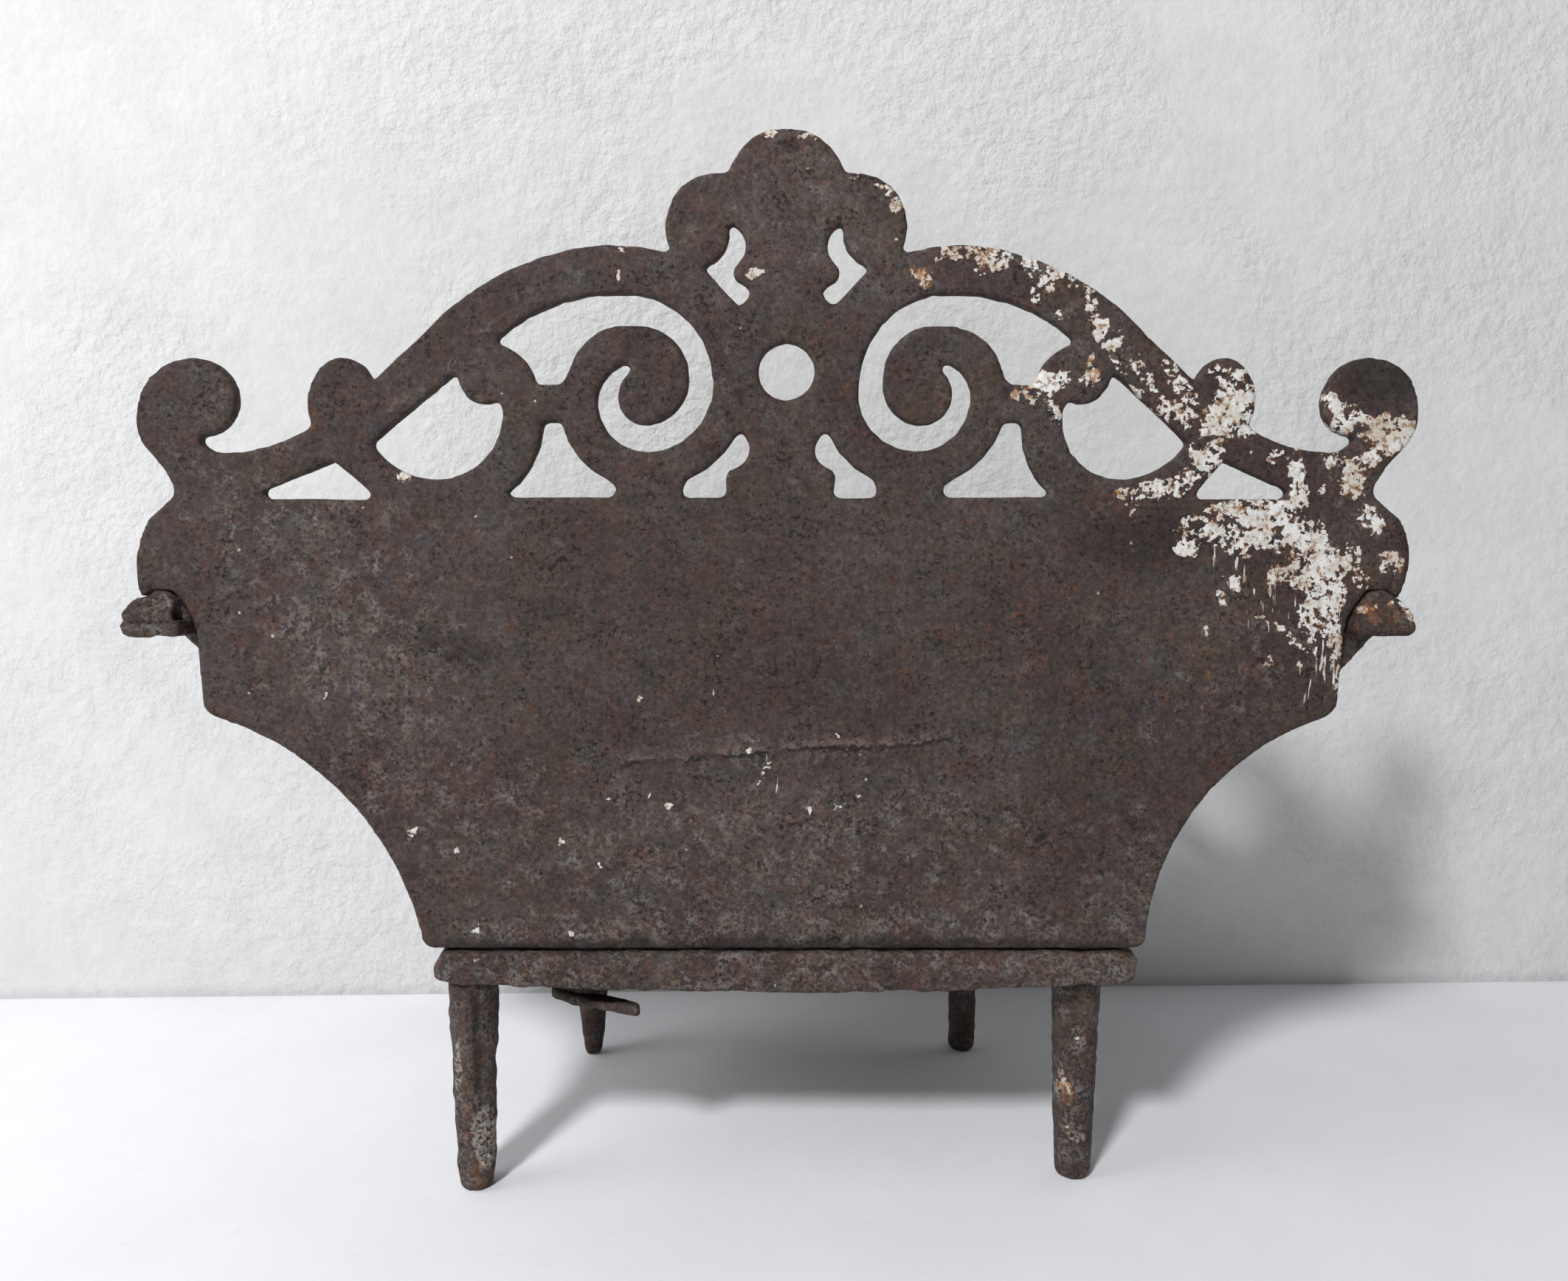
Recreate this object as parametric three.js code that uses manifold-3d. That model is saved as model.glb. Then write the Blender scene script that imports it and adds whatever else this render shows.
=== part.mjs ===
// A free-standing cast-iron fire grate, in millimetres, +Z up.
// A tall fretted back plate hangs on the ends of two curved side cheeks. The cheeks stand on a bed frame
// with four tapered legs, six bowed bars close the fire side, and a loose grate lies in the bed.
// The flat back of the plate faces -Y and the fire side faces +Y.
import * as THREE from 'three';
import { mergeVertices } from 'three/addons/utils/BufferGeometryUtils.js';
import Module from 'manifold-3d';

const wasm = await Module();
wasm.setup();

// Driving dimensions
const GAP = 0.3; // air left between pieces that touch
const PLATE_BOTTOM = 116;
const PLATE_TOP = 475.5;
const PLATE_THICK = 8;
const HALF_WIDTH = 280; // from the plate's middle line to its side lobes
const SIDE_BOW = 5; // the sand casting bows this much to the left at mid height
const BOW_HEIGHT = 255;
const SIDE_STRETCH = 3; // and its left half came out this much wider than its right half

const BED_TOP = 114.2;
const BED_WEB = 7;
const BED_HALF = 159.6;
const BED_BACK = -2;
const BED_FRONT = 214;
const BED_APRON = 8;
const BED_SIDES = [12, 172]; // the straight tapering sides run between these two Y
const BED_LOW_MIDDLE = 96; // lower edge of the apron at the middle, and at the two ends
const BED_LOW_ENDS = 101;
const TAPER = 0.2; // the bed and the cheeks run inwards this much for each millimetre forwards

const OPENING = { back: 50, half: 122, shoulder: 108, shoulderY: 112, front: 178 };
const RIM_ENDS = [ // worn end faces of the rear rim, as [x, z] down each end
  [[-155.5, BED_TOP], [-159.5, 107.7], [-158.8, 102.5], [-155.5, 95]],
  [[152.1, BED_TOP], [158.2, 112], [157.2, 106], [154, 95]],
];
const LEDGE = 5; // the loose grate rests on a ledge this wide
const LEDGE_Z = 110.2;
const GRATE_THICK = 8;
const SLOT_PITCH = 22;
const BELOW = 80; // cutters start here, below the bed
const ABOVE = BED_TOP + 5; // and end here, above it

const FLANK = { x: 282.6, z: 105.8, r: 120.6 }; // circle of the plate's hollow flank
const WALL_SETBACK = 8; // the cheek's outer face lies this far inside the flank
const WALL_THICK = 6;
const WALL_FRONT = 100;
const FLANGE_TOP = 120.5;
const FLANGE_BACK = 36;
const STILE_BACK = 88;
const STILE_FRONT = 102;
const ARM_BACK = -7;
const ARM_FLOOR = 257.8;
const ARM_TOP = 277.1;

const BAR_END_Y = 94;
const BARS = [
  { z: 137, radius: 5 },
  { z: 161, radius: 5 },
  { z: 185, radius: 5 },
  { z: 209, radius: 5 },
  { z: 233, radius: 5 },
  { z: 267, radius: 6.5 },
];

const LEGS = [
  { name: 'back_left_leg', x: -144, y: 11.6, top: 11.3, foot: 8.3 },
  { name: 'back_right_leg', x: 135.4, y: 22.2, top: 11.7, foot: 8.4 },
  { name: 'front_left_leg', x: -112.7, y: 166, top: 9.3, knee: 8, foot: 5.2 },
  { name: 'front_right_leg', x: 103.6, y: 173, top: 8.2, foot: 7.8 },
];
const TENON = 5.5;
const KNEE_Z = 28; // where a leg that has a knee turns from its steep lower taper

const CATCH = { x: -104, y: 38.4, low: 83.6, thick: 4.5, hole: 3.3 };
const CATCH_LUG = [[-110.5, 27.5], [-97, 18.6], [-83.2, 15.5], [-84.5, 30], [-108, 36]]; // plan of the lug over the catch
const BOLT_Y = [47, 76];
const BOLT = { shank: 3, hole: 3.4, head: 9, headHigh: 4.5, nut: 11, nutHigh: 5 };

const ARC_ERROR = 0.3; // how far a faceted arc may lie off the true circle
const CAST = new THREE.Color(0x4f4642);
const WROUGHT = new THREE.Color(0x4a403b);

// Outlines. A stretch [x, z] is straight. A stretch [mx, mz, x, z] is the circle's arc that starts where the
// last stretch ended and goes through (mx, mz) to (x, z).
function circleThrough(a, b, c) {
  const ab = b.clone().sub(a);
  const ac = c.clone().sub(a);
  const cross = 2 * ab.cross(ac);
  const x = (ac.y * ab.lengthSq() - ab.y * ac.lengthSq()) / cross;
  const y = (ab.x * ac.lengthSq() - ac.x * ab.lengthSq()) / cross;
  return new THREE.Vector2(a.x + x, a.y + y);
}

function arcPoints(a, b, c) {
  const centre = circleThrough(a, b, c);
  const radius = a.distanceTo(centre);
  const angle = (p) => Math.atan2(p.y - centre.y, p.x - centre.x);
  const ccw = b.clone().sub(a).cross(c.clone().sub(b)) > 0;
  let sweep = angle(c) - angle(a);
  if (ccw && sweep < 0) sweep += 2 * Math.PI;
  if (!ccw && sweep > 0) sweep -= 2 * Math.PI;
  const step = 2 * Math.acos(Math.max(0.8, 1 - ARC_ERROR / radius));
  const count = Math.max(2, Math.ceil(Math.abs(sweep) / step));
  const points = [];
  for (let i = 1; i < count; i += 1) {
    const at = angle(a) + (sweep * i) / count;
    points.push(new THREE.Vector2(centre.x + radius * Math.cos(at), centre.y + radius * Math.sin(at)));
  }
  points.push(c);
  return points;
}

function trace(start, stretches) {
  const points = [new THREE.Vector2(...start)];
  for (const s of stretches) {
    const end = new THREE.Vector2(s.at(-2), s.at(-1));
    if (s.length === 4) {
      points.push(...arcPoints(points.at(-1), new THREE.Vector2(s[0], s[1]), end));
    } else {
      points.push(end);
    }
  }
  if (points.at(-1).distanceTo(points[0]) < 0.01) points.pop();
  return points;
}

function flip(points) {
  return points.map((p) => new THREE.Vector2(-p.x, p.y)).reverse();
}

// Solids
function toManifold(geometry) {
  geometry.deleteAttribute('normal');
  geometry.deleteAttribute('uv');
  const merged = mergeVertices(geometry, 1e-3);
  return new wasm.Manifold(new wasm.Mesh({
    numProp: 3,
    vertProperties: new Float32Array(merged.attributes.position.array),
    triVerts: new Uint32Array(merged.index.array),
  }));
}

function toGeometry(solid) {
  const mesh = solid.getMesh();
  const geometry = new THREE.BufferGeometry();
  geometry.setAttribute('position', new THREE.BufferAttribute(mesh.vertProperties, 3));
  geometry.setIndex(new THREE.BufferAttribute(mesh.triVerts, 1));
  geometry.computeVertexNormals();
  return geometry;
}

// A prism whose section lies in the XZ plane, from y0 to y1.
function uprightPrism(points, y0, y1, holes = []) {
  const shape = new THREE.Shape(points);
  for (const hole of holes) shape.holes.push(new THREE.Path(hole));
  const geometry = new THREE.ExtrudeGeometry(shape, { depth: y1 - y0, bevelEnabled: false });
  geometry.rotateX(Math.PI / 2);
  geometry.translate(0, y1, 0);
  return geometry;
}

// A prism whose section lies in the XY plane, from z0 to z1.
function flatPrism(points, z0, z1) {
  const shape = new THREE.Shape(points);
  const geometry = new THREE.ExtrudeGeometry(shape, { depth: z1 - z0, bevelEnabled: false });
  geometry.translate(0, 0, z0);
  return geometry;
}

function disc(x, y, radius, z0, z1, sides = 20) {
  const geometry = new THREE.CylinderGeometry(radius, radius, z1 - z0, sides);
  geometry.rotateX(Math.PI / 2);
  geometry.translate(x, y, (z0 + z1) / 2);
  return toManifold(geometry);
}

// The casting's lopsidedness: the plate, the cheeks that follow its flanks and the bars between them share it.
function leanOf(x, z) {
  const rise = THREE.MathUtils.clamp((z - PLATE_BOTTOM) / BOW_HEIGHT, 0, 1);
  return SIDE_BOW * Math.sin(Math.PI * rise) + SIDE_STRETCH * (x / HALF_WIDTH) ** 2;
}

function lean(geometry) {
  const position = geometry.attributes.position;
  for (let i = 0; i < position.count; i += 1) {
    position.setX(i, position.getX(i) - leanOf(position.getX(i), position.getZ(i)));
  }
  return geometry;
}

// Half of the back plate's outline, from the bottom middle up to the crest. Its side lobe reaches out this far.
function halfOutline(lobe) {
  return trace([0, PLATE_BOTTOM], [
    [158.5, PLATE_BOTTOM],
    [161.6, 117.4, 163, 121],
    [190, 183, 247, 221],
    [250.6, 224, 252, 229],
    [253, 253],
    [256, 267, 263.5, 277.5],
    [271.8, 277.5],
    [277.2, 273.8],
    [lobe, 293, lobe - 5, 308],
    [266, 315.8],
    [263, 319.2, 263.1, 323],
    [267.3, 330.5, 273.7, 338],
    [279.5, 348, 279.5, 357],
    [273.5, 371, 256.2, 378.3],
    [243, 373.2, 237.2, 359],
    [241.3, 349.3, 254.2, 344.7],
    [250.4, 339.8, 242.6, 337.3],
    [222, 340.2, 204.4, 348.6],
    [206.9, 361, 201.5, 374],
    [191.5, 378.6, 180, 367.4],
    [158, 387.3],
    [125, 413.2, 77, 426.6],
    [62, 425.5, 49.5, 422.8],
    [52, 438, 45.2, 451.2],
    [36.5, 455.8, 25.2, 456.5],
    [19.6, 466.9, 8, 474.7],
    [0, PLATE_TOP],
  ]);
}

function plateOutline() {
  const rightLobe = HALF_WIDTH + 1.3;
  const leftLobe = HALF_WIDTH - 1;
  return [...halfOutline(rightLobe), ...flip(halfOutline(leftLobe)).slice(1, -1)];
}

// The outermost hole of each side. Its inner toe was cast shorter on the right than on the left.
function cornerHole(toe) {
  return trace([225.6, 319.3], [
    [223.5, 317.3, 220.5, 317],
    [toe + 2.4, 317],
    [toe, 318, toe + 0.6, 320.5],
    [194.8, 334],
    [210, 327.4, 224, 321.6],
  ]);
}

function plateHoles() {
  const eye = trace([179.3, 341.2], [
    [165, 329, 152.5, 325.6],
    [130, 333.8, 122, 353],
    [122.6, 357.5, 125, 360.2],
    [131.5, 358.6, 138, 361],
    [141, 365.5, 143, 372],
    [145.6, 370.3],
    [170, 349.5],
  ]);
  const scroll = trace([127.6, 384.8], [
    [118.5, 381.4, 113, 376.3],
    [110.3, 371.5, 108.8, 366.7],
    [98, 366.7],
    [95.5, 369.5, 94.3, 373],
    [86.5, 385.8, 67, 392],
    [49, 386, 42.4, 370],
    [46.5, 356.5, 59, 349.3],
    [69.5, 353, 73, 362],
    [72, 367, 67.6, 372.6],
    [68.6, 375.6, 72, 375.5],
    [79, 369.5, 81.9, 359],
    [76, 345.3, 58, 337.8],
    [40.5, 345, 31.8, 368],
    [42.5, 394, 74, 406],
    [101, 401.2, 127.6, 384.8],
  ]);
  const stem = trace([121.2, 318], [
    [74, 317.8],
    [71.9, 319.8, 72.2, 323.3],
    [76, 325.8],
    [88, 334.6, 96.2, 349.8],
    [97.2, 350.9],
    [103.8, 350.9],
    [105, 349.5],
    [109.3, 332, 121.2, 318],
  ]);
  const drop = trace([43, 320.8], [
    [42.3, 318.3, 40, 317.5],
    [26, 317.5],
    [23.2, 319.3],
    [24, 327],
    [22.8, 329.4, 20, 330.5],
    [14.3, 336.5, 16.2, 344.6],
    [18, 346.3, 20, 346],
    [28.5, 334.5, 41.5, 325.6],
  ]);
  const leaf = trace([20.6, 400.1], [
    [16.8, 403.3, 15.3, 406.2],
    [18, 409.8, 21.5, 411.5],
    [23, 414, 20.6, 418.4],
    [17.4, 427, 21.3, 434.4],
    [25.2, 435.4],
    [25.4, 427, 30.5, 420],
    [36.3, 417],
  ]);
  const eyeHole = trace([12.5, 372.5], [
    [0, 385, -12.5, 372.5],
    [0, 360, 12.5, 372.5],
  ]);
  const right = [eye, scroll, stem, drop, leaf];
  const corners = [cornerHole(184), flip(cornerHole(178))];
  return [...corners, ...right, ...right.map(flip), eyeHole];
}

function backPlate() {
  return lean(uprightPrism(plateOutline(), 0, PLATE_THICK, plateHoles()));
}

// Bed frame. The same plan, grown or shrunk, gives the outside, the pocket below, the opening and its ledge.
function outerPlan(inset) {
  const [back, front] = BED_SIDES;
  const half = BED_HALF - inset;
  const shoulder = half - TAPER * (front - back);
  return trace([-half, BED_BACK + inset], [
    [half, BED_BACK + inset],
    [half, back],
    [shoulder, front],
    [0, BED_FRONT - inset, -shoulder, front],
    [-half, back],
  ]);
}

function openingPlan(grow) {
  const o = OPENING;
  return trace([-o.half - grow, o.back - grow], [
    [o.half + grow, o.back - grow],
    [o.shoulder + grow, o.shoulderY],
    [0, o.front + grow, -o.shoulder - grow, o.shoulderY],
  ]);
}

function undersideOf(x) {
  return BED_LOW_MIDDLE + (BED_LOW_ENDS - BED_LOW_MIDDLE) * (x / BED_HALF) ** 2;
}

function undersideCutter() {
  const shape = new THREE.Shape();
  const end = BED_HALF + 1;
  shape.moveTo(-end, BELOW);
  shape.lineTo(end, BELOW);
  shape.lineTo(end, undersideOf(end));
  shape.quadraticCurveTo(0, 2 * BED_LOW_MIDDLE - undersideOf(end), -end, undersideOf(end));
  return toManifold(uprightPrism(shape.getPoints(16), BED_BACK - 5, BED_FRONT + 5));
}

// What is worn off one end of the rear rim. The tapering side leaves the cut behind further on.
function endCutter(profile) {
  const outside = Math.sign(profile[0][0]) * (BED_HALF + 3);
  const [top, foot] = [profile[0], profile[profile.length - 1]];
  const points = [[top[0], ABOVE], ...profile, [foot[0], BELOW], [outside, BELOW], [outside, ABOVE]];
  return toManifold(uprightPrism(points.map((p) => new THREE.Vector2(...p)), BED_BACK - 1, BED_FRONT));
}

function baseFrame() {
  const webLow = BED_TOP - BED_WEB;
  let solid = toManifold(flatPrism(outerPlan(0), 90, BED_TOP));
  solid = solid.subtract(toManifold(flatPrism(outerPlan(BED_APRON), 85, webLow)));
  solid = solid.add(toManifold(flatPrism(openingPlan(LEDGE), 100, webLow + 1)));
  for (const leg of LEGS) solid = solid.add(disc(leg.x, leg.y, leg.top + 1.5, 90, webLow + 1, 24));
  solid = solid.subtract(undersideCutter());
  for (const profile of RIM_ENDS) solid = solid.subtract(endCutter(profile));
  const lugLow = CATCH.low + CATCH.thick + GAP;
  solid = solid.add(disc(CATCH.x, CATCH.y, 9, lugLow, webLow + 1));
  solid = solid.add(toManifold(flatPrism(CATCH_LUG.map((p) => new THREE.Vector2(...p)), lugLow, webLow + 1)));
  solid = solid.subtract(toManifold(flatPrism(openingPlan(0), BELOW, ABOVE)));
  solid = solid.subtract(toManifold(flatPrism(openingPlan(LEDGE), LEDGE_Z, ABOVE)));
  solid = solid.subtract(disc(CATCH.x, CATCH.y, CATCH.hole, BELOW, ABOVE, 16));
  for (const leg of LEGS) solid = solid.subtract(disc(leg.x, leg.y, TENON + GAP, BELOW, ABOVE, 16));
  for (const b of boltPlaces()) solid = solid.subtract(disc(b.x, b.y, BOLT.hole, BELOW, ABOVE, 12));
  return toGeometry(solid);
}

// Loose bed grate: a plate with a row of slots, lying on the ledge round the opening.
function bottomGrate() {
  const low = LEDGE_Z + GAP;
  let solid = toManifold(flatPrism(openingPlan(LEDGE - 2 * GAP), low, low + GRATE_THICK));
  const front = circleThrough(
    new THREE.Vector2(-OPENING.shoulder, OPENING.shoulderY),
    new THREE.Vector2(0, OPENING.front),
    new THREE.Vector2(OPENING.shoulder, OPENING.shoulderY),
  );
  const reach = OPENING.front - front.y;
  for (let i = -4; i <= 4; i += 1) {
    const x = i * SLOT_PITCH;
    const far = front.y + Math.sqrt(reach ** 2 - (Math.abs(x) + 6) ** 2) - 8;
    const slot = trace([x - 6, 62], [
      [x, 56, x + 6, 62],
      [x + 6, far - 6],
      [x, far, x - 6, far - 6],
    ]);
    solid = solid.subtract(toManifold(flatPrism(slot, low - 1, low + GRATE_THICK + 1)));
  }
  return toGeometry(solid);
}

// Legs: tapered pegs whose round tenons go up through the bed frame and are hammered flush.
function leg({ x, y, top, knee, foot }) {
  const shoulder = undersideOf(Math.abs(x) - top) - GAP;
  const profile = [
    new THREE.Vector2(0, 0),
    new THREE.Vector2(foot - 2, 0),
    new THREE.Vector2(foot - 0.4, 2),
    new THREE.Vector2(foot, 6),
    ...(knee ? [new THREE.Vector2(knee, KNEE_Z)] : []),
    new THREE.Vector2(top, shoulder),
    new THREE.Vector2(TENON, shoulder),
    new THREE.Vector2(TENON, BED_TOP - 0.2),
    new THREE.Vector2(0, BED_TOP - 0.2),
  ];
  const geometry = new THREE.LatheGeometry(profile, 16);
  geometry.rotateX(Math.PI / 2);
  geometry.translate(x, y, 0);
  return toGeometry(toManifold(geometry));
}

// Cheeks. Points on the circle that lies a set distance inside the plate's flank.
function flankX(offset, z) {
  return FLANK.x - Math.sqrt((FLANK.r + offset) ** 2 - (z - FLANK.z) ** 2);
}

function flankZ(offset, x) {
  return FLANK.z + Math.sqrt((FLANK.r + offset) ** 2 - (FLANK.x - x) ** 2);
}

const CHEEK_LOW = BED_TOP + GAP;
const KNEE_X = 236; // where the flank's curve passes into the upright part of the cheek
const SHIN_Z = 170; // a height on the curve between foot and knee

// The gusset under the arm is fuller on the right cheek, by the given amount.
function cheekSection(offset, thick, upright, fuller) {
  const inner = offset + thick;
  const kneeIn = KNEE_X - thick;
  return trace([flankX(offset, CHEEK_LOW), CHEEK_LOW], [
    [flankX(offset, SHIN_Z), SHIN_Z, KNEE_X, flankZ(offset, KNEE_X)],
    [upright + fuller / 4, 235],
    [252.5 + fuller, 245.5, 263.5 + fuller, ARM_FLOOR + 0.5],
    [270, ARM_FLOOR + 3],
    [259, 266],
    [255, 264],
    [245.5, 256, upright - thick, 240],
    [kneeIn, flankZ(inner, kneeIn)],
    [flankX(inner, SHIN_Z), SHIN_Z, flankX(inner, CHEEK_LOW), CHEEK_LOW],
  ]);
}

// The cheek's arm has a flat lip below, a shallow groove at its tip and a rounded back above.
function armSection() {
  return trace([256.5, ARM_FLOOR], [
    [276.4, ARM_FLOOR],
    [279, 259.2, 279.6, 262],
    [278.6, 264.3],
    [279.6, 266.8],
    [276, 272.4, 269.6, ARM_TOP],
    [263.8, 276.8],
    [260.2, 272],
    [257.2, 266],
    [256.5, 264],
  ]);
}

function shear(geometry) {
  const matrix = new THREE.Matrix4().set(1, -TAPER, 0, TAPER * PLATE_THICK, 0, 1, 0, 0, 0, 0, 1, 0, 0, 0, 0, 1);
  return geometry.applyMatrix4(matrix);
}

function cheekBlank(fuller) {
  const part = (points, y0, y1) => toManifold(shear(uprightPrism(points, y0, y1)));
  const wallIn = flankX(WALL_SETBACK + WALL_THICK, CHEEK_LOW);
  const wallBack = PLATE_THICK + 2 * GAP;
  const flange = trace([wallIn - 12, CHEEK_LOW], [
    [wallIn + 2, CHEEK_LOW],
    [wallIn + 4, FLANGE_TOP],
    [wallIn - 12, FLANGE_TOP],
  ]);
  let solid = part(cheekSection(WALL_SETBACK, WALL_THICK, 248, fuller), wallBack, WALL_FRONT);
  solid = solid.add(part(cheekSection(WALL_SETBACK - 2, 16, 250, fuller), STILE_BACK, STILE_FRONT));
  solid = solid.add(part(armSection(), ARM_BACK, STILE_FRONT));
  return solid.add(part(flange, FLANGE_BACK, STILE_BACK + 1));
}

// The arm's back end is worn to a slope that leans away above its lip.
function armEndCutter() {
  const geometry = new THREE.BoxGeometry(60, 30, 60);
  geometry.translate(0, -15, 0);
  geometry.rotateX(-0.5);
  geometry.translate(272, ARM_BACK + 1.2, 265);
  return toManifold(geometry);
}

function cheek(side) {
  let solid = cheekBlank(side > 0 ? 8.5 : 0).subtract(armEndCutter());
  if (side < 0) solid = solid.mirror([1, 0, 0]);
  solid = toManifold(lean(toGeometry(solid)));
  for (const bar of BARS) solid = solid.subtract(toManifold(barSweep(bar, GAP, 1)));
  for (const b of boltPlaces()) solid = solid.subtract(disc(b.x, b.y, BOLT.hole, BELOW, FLANGE_TOP + 5, 12));
  return toGeometry(solid);
}

// Bars: round rods bowed in plan, their ends let into sockets in the cheeks' front stiles.
class BowedLine extends THREE.Curve {
  constructor(centreY, bow, half, z) {
    super();
    Object.assign(this, { centreY, bow, half, z });
  }

  getPoint(t, target = new THREE.Vector3()) {
    const at = this.half * (2 * t - 1);
    return target.set(this.bow * Math.sin(at), this.centreY + this.bow * Math.cos(at), this.z);
  }
}

function barEndX(z) {
  const upright = z > ARM_FLOOR ? 268 : 242;
  const stile = z > 229 ? upright : flankX(WALL_SETBACK + 6, z);
  return stile - TAPER * (BAR_END_Y - PLATE_THICK);
}

function barSweep({ z, radius }, grow, longer) {
  const end = barEndX(z);
  const middle = 204 + 0.2 * (z - PLATE_BOTTOM);
  const centre = circleThrough(
    new THREE.Vector2(-end, BAR_END_Y),
    new THREE.Vector2(0, middle),
    new THREE.Vector2(end, BAR_END_Y),
  );
  const bow = middle - centre.y;
  const half = Math.atan2(end, BAR_END_Y - centre.y) + longer / bow;
  const section = new THREE.Shape();
  section.absarc(0, 0, radius + grow, 0, 2 * Math.PI);
  const options = {
    steps: 20,
    curveSegments: 4,
    extrudePath: new BowedLine(centre.y, bow, half, z),
    bevelEnabled: false,
  };
  return lean(new THREE.ExtrudeGeometry(section, options));
}

// Catch under the bed: a bent flat lever on a rivet.
function catchLever() {
  const outline = trace([-110.8, 37], [
    [-111.5, 29, -104, 21],
    [-100, 16.8, -94, 14],
    [-70.6, 3],
    [-67.4, 2.4, -66.9, 5.2],
    [-67.4, 8.6, -71, 11.2],
    [-77.3, 16.3],
    [-86, 22],
    [-96, 29, -98.3, 38.4],
    [-99, 45.5, -105, 45],
    [-110.5, 44, -110.8, 37],
  ]);
  const solid = toManifold(flatPrism(outline, CATCH.low, CATCH.low + CATCH.thick));
  return toGeometry(solid.subtract(disc(CATCH.x, CATCH.y, CATCH.hole, BELOW, ABOVE, 16)));
}

function catchRivet() {
  const low = CATCH.low - GAP;
  const top = BED_TOP + GAP;
  const profile = [
    [0, low - 2.4],
    [3.6, low - 1.8],
    [5.2, low - 0.6],
    [5.4, low],
    [3, low],
    [3, top],
    [5.4, top],
    [4.8, top + 1.2],
    [3, top + 2.2],
    [0, top + 2.5],
  ];
  const geometry = new THREE.LatheGeometry(profile.map((p) => new THREE.Vector2(...p)), 16);
  geometry.rotateX(Math.PI / 2);
  geometry.translate(CATCH.x, CATCH.y, 0);
  return toGeometry(toManifold(geometry));
}

// Bolts hold each cheek's foot flange to the bed, with square heads above and square nuts below.
function boltPlaces() {
  const places = [];
  for (const side of [-1, 1]) {
    for (const [i, y] of BOLT_Y.entries()) {
      const wallIn = flankX(WALL_SETBACK + WALL_THICK, CHEEK_LOW) - TAPER * (y - PLATE_THICK);
      const name = `${side < 0 ? 'left' : 'right'}_cheek_${i === 0 ? 'back' : 'front'}`;
      places.push({ name, x: side * (wallIn - 7.5), y });
    }
  }
  return places;
}

function block(size, x, y, z0, z1) {
  const geometry = new THREE.BoxGeometry(size, size, z1 - z0);
  geometry.translate(x, y, (z0 + z1) / 2);
  return toManifold(geometry);
}

function bolt({ x, y }) {
  const seat = FLANGE_TOP + GAP;
  const low = BED_TOP - BED_WEB - BOLT.nutHigh - 3;
  const shank = disc(x, y, BOLT.shank, low, seat + 1, 12);
  return toGeometry(shank.add(block(BOLT.head, x, y, seat, seat + BOLT.headHigh)));
}

function nut({ x, y }) {
  const top = BED_TOP - BED_WEB - GAP;
  const square = block(BOLT.nut, x, y, top - BOLT.nutHigh, top);
  return toGeometry(square.subtract(disc(x, y, BOLT.hole, BELOW, ABOVE, 12)));
}

// Assembly
const grate = new THREE.Group();

function add(name, geometry, color) {
  const material = new THREE.MeshStandardMaterial({ color, roughness: 0.85, metalness: 0.35 });
  const mesh = new THREE.Mesh(geometry, material);
  mesh.name = name;
  grate.add(mesh);
}

add('back_plate', backPlate(), CAST);
add('base_frame', baseFrame(), CAST);
add('bottom_grate', bottomGrate(), CAST);
for (const spec of LEGS) add(spec.name, leg(spec), CAST);
add('left_cheek', cheek(-1), CAST);
add('right_cheek', cheek(1), CAST);
for (const [i, bar] of BARS.entries()) add(`front_bar_${i + 1}`, barSweep(bar, 0, 0), WROUGHT);
add('catch_lever', catchLever(), WROUGHT);
add('catch_rivet', catchRivet(), WROUGHT);
for (const place of boltPlaces()) {
  add(`${place.name}_bolt`, bolt(place), WROUGHT);
  add(`${place.name}_nut`, nut(place), WROUGHT);
}

// The origin is the middle of the underside of the whole object's box.
const box = new THREE.Box3().setFromObject(grate);
const middle = box.getCenter(new THREE.Vector3());
grate.position.set(-middle.x, -middle.y, -box.min.z);

export default grate;
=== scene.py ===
"""Looks of an old cast-iron fire grate with a fretted back plate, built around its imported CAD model.

Sizes in the tables and the shaders are in millimetres. x is from the plate's middle line, y from its plain rear
face, and z from the floor. Blender itself works in metres.
"""

import itertools
import math

import bpy
import numpy as np
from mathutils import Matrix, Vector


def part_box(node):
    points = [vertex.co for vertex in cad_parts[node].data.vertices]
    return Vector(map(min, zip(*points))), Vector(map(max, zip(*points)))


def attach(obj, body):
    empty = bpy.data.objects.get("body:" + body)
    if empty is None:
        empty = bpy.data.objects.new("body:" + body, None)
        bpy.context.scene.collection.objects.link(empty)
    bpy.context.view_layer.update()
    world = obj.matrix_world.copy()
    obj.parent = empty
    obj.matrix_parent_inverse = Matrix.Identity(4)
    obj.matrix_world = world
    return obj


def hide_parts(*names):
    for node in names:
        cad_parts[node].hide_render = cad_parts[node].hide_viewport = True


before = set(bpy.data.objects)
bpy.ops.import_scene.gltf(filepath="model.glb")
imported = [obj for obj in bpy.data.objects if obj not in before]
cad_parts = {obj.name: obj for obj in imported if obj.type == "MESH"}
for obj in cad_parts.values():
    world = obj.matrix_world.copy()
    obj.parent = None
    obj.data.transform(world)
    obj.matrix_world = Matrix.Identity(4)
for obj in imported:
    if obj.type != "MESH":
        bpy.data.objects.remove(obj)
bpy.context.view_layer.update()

MM = 0.001
bed_low, bed_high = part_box("base_frame")
plate_low, plate_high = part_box("back_plate")
ORIGIN = np.array([(bed_low[0] + bed_high[0]) / 2, plate_low[1], 0.0])  # where x, y and z are 0


def at(x, y, z):
    """A place given in millimetres, as metres in the frame."""
    return tuple(ORIGIN + np.array([x, y, z]) * MM)


# ---------------------------------------------------------------- repeatable noise on vertices

TURN = np.array([[0.36, 0.48, -0.8], [-0.8, 0.6, 0.0], [0.48, 0.64, 0.6]])  # a rotation, so no row of bumps lines up


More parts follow.
